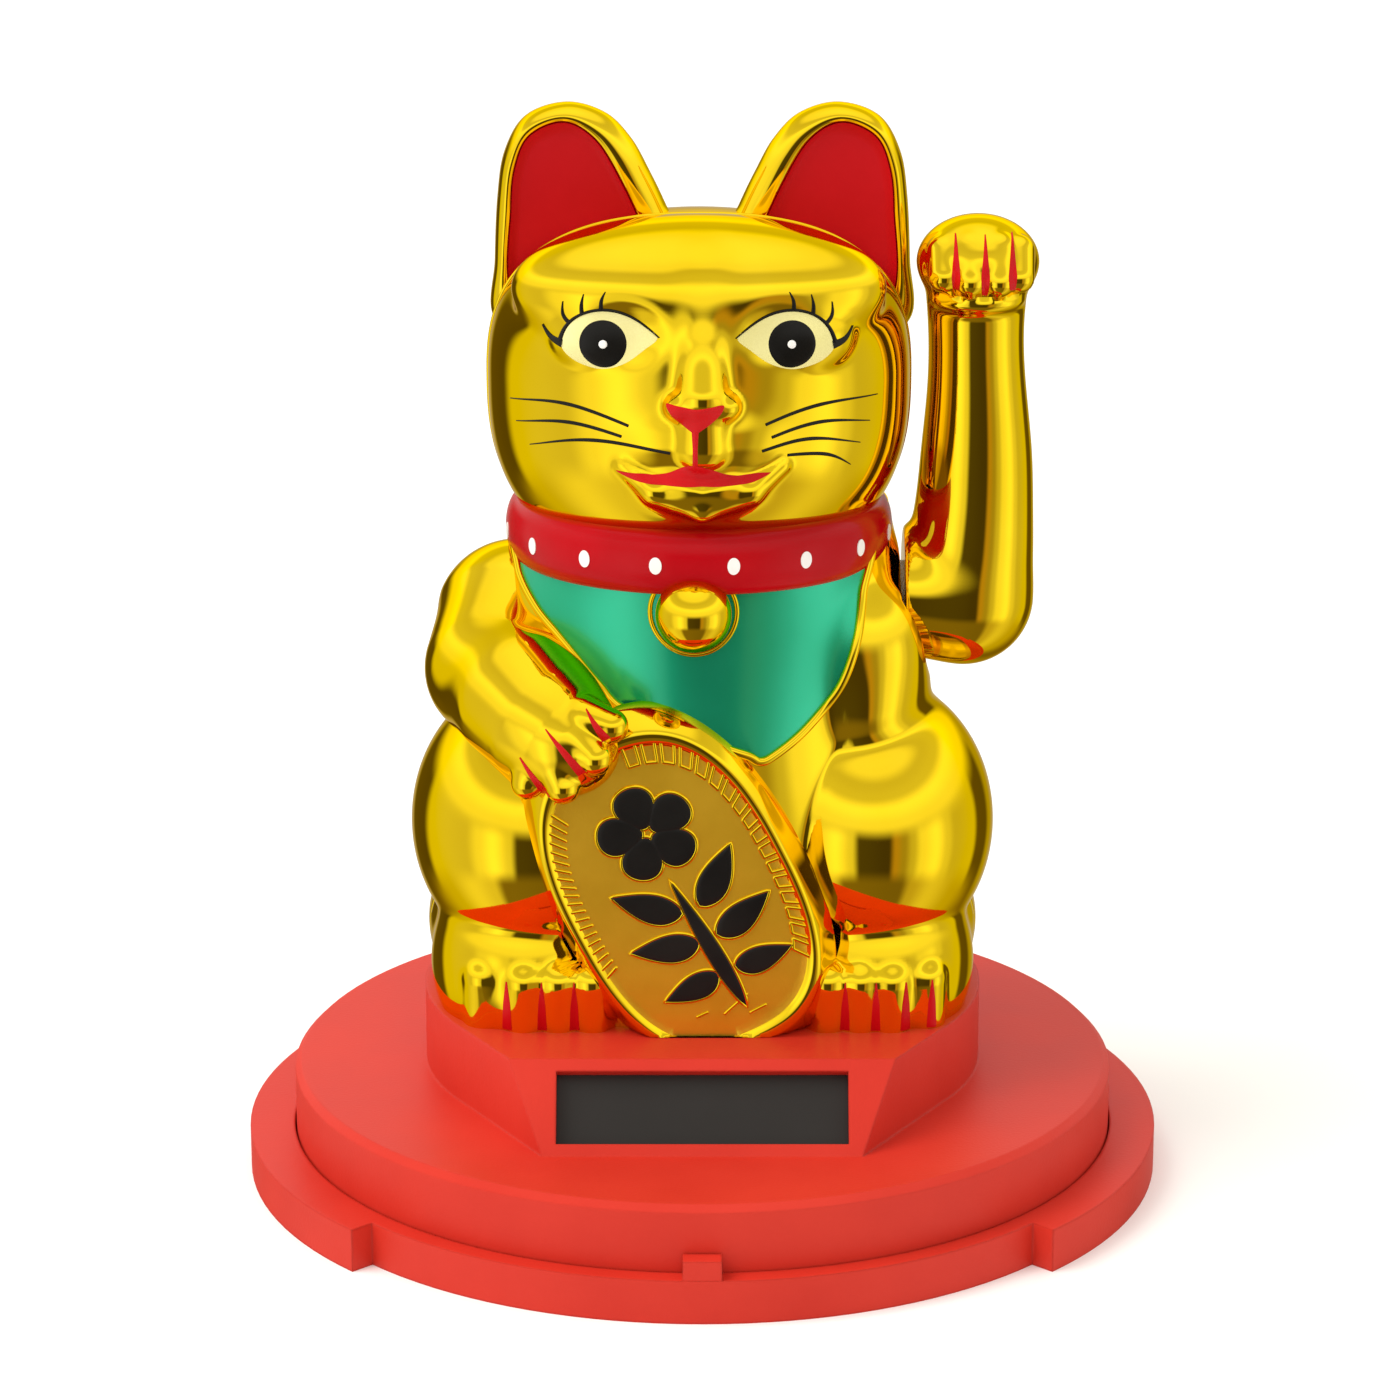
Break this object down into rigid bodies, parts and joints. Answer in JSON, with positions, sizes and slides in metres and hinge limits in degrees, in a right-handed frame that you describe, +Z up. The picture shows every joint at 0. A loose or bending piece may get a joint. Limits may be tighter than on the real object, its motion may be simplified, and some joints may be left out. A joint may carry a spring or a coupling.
{
  "type": "beckoning cat figurine",
  "caption": "Solar-powered beckoning cat: a gold seated cat with a rocking raised arm and a coin, standing on a stepped round red base with a light cell.",
  "frame": {"origin": "centre of the base's underside", "axes": "+Z up, the cat faces -Y, +X towards its raised left arm"},
  "size_m": [0.11, 0.104, 0.1285],
  "materials": {
    "gold_shell": "vacuum-metallised gold, mirror gloss",
    "red_base": "satin moulded plastic",
    "solar_cell": "dark amorphous cell, satin",
    "screw_steel": "zinc-plated",
    "pin_steel": "polished",
    "weight_steel": "plain steel slug",
    "magnet": "sintered, matte",
    "ivory_plastic": "satin moulded plastic",
    "lead_insulation": "satin",
    "board_laminate": "solder mask, satin",
    "capacitor_sleeve": "gloss sleeve",
    "black_resin": "matte",
    "copper_wire": "enamelled copper winding",
    "collar_red": "gloss sprayed lacquer",
    "collar_dot_white": "gloss paint",
    "bib_green": "pearl lacquer, satin gloss",
    "ear_red": "satin paint",
    "line_red": "satin paint",
    "line_black": "gloss paint",
    "eye_cream": "gloss paint",
    "coin_gold": "textured metallised gold, satin",
    "enamel_black": "gloss enamel paint"
  },
  "bodies": {
    "figure": {"base_bottom": "red_base", "base_top": "red_base", "base_screws": "screw_steel", "solar_cell": "solar_cell", "cell_leads": "lead_insulation", "circuit_board": "board_laminate", "board_screws": "screw_steel", "capacitor": "capacitor_sleeve", "driver_transistor": "black_resin", "coil_bobbin": "ivory_plastic", "drive_coil": "copper_wire", "body_front": "gold_shell", "body_back": "gold_shell", "figure_screws": "screw_steel", "bush_inner": "ivory_plastic", "bush_outer": "ivory_plastic"},
    "waving_arm": {"arm_front": "gold_shell", "arm_back": "gold_shell", "arm_hub": "ivory_plastic", "pivot_pin": "pin_steel", "pendulum_lever": "ivory_plastic", "pendulum_magnet": "magnet", "counterweight": "weight_steel"}
  },
  "joints": [
    {"name": "arm_swing", "type": "hinge", "parent": "figure", "child": "waving_arm", "pos_m": [0.018, 0, 0.071], "axis": [1, 0, 0], "range_deg": [-20, 20]}
  ]
}
